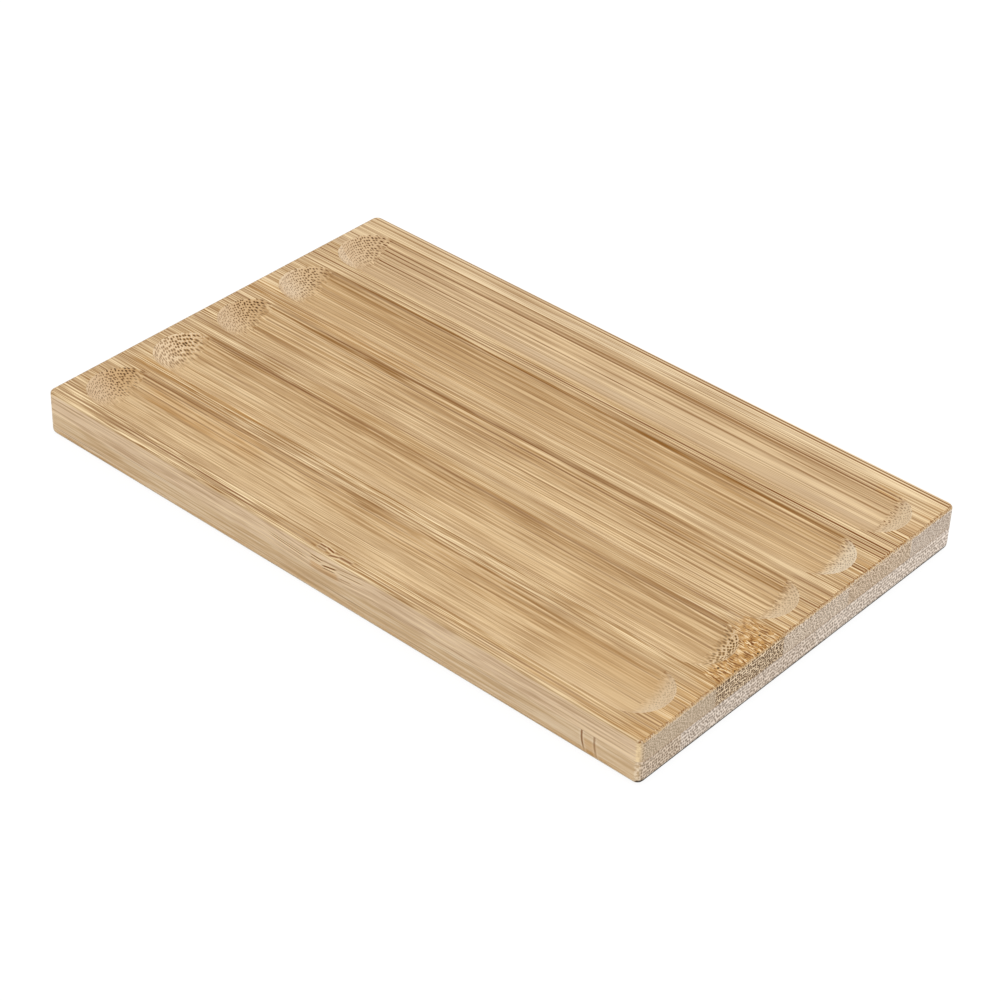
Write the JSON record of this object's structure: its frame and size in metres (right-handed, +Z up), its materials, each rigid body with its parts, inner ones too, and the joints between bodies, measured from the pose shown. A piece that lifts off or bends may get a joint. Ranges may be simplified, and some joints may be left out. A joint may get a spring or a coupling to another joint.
{
  "type": "pen tray",
  "caption": "Flat bamboo board, glued up from strips in layers, with long round-bottomed grooves that each hold a pen lying down.",
  "frame": {"origin": "middle of the underside, on the surface that the tray stands on", "axes": "+X along the grooves, +Y towards the back long side, +Z up out of the grooves"},
  "size_m": [0.185, 0.1152, 0.0125],
  "materials": {
    "bamboo_top_layer": "sanded, satin, fine grain along X",
    "bamboo_bottom_layer": "sanded, satin, fine grain along X"
  },
  "bodies": {
    "root": {"top_strip_1": "bamboo_top_layer", "top_strip_2": "bamboo_top_layer", "top_strip_3": "bamboo_top_layer", "top_strip_4": "bamboo_top_layer", "top_strip_5": "bamboo_top_layer", "bottom_strip_1": "bamboo_bottom_layer", "bottom_strip_2": "bamboo_bottom_layer", "bottom_strip_3": "bamboo_bottom_layer", "bottom_strip_4": "bamboo_bottom_layer", "bottom_strip_5": "bamboo_bottom_layer", "bottom_strip_6": "bamboo_bottom_layer"}
  },
  "joints": []
}
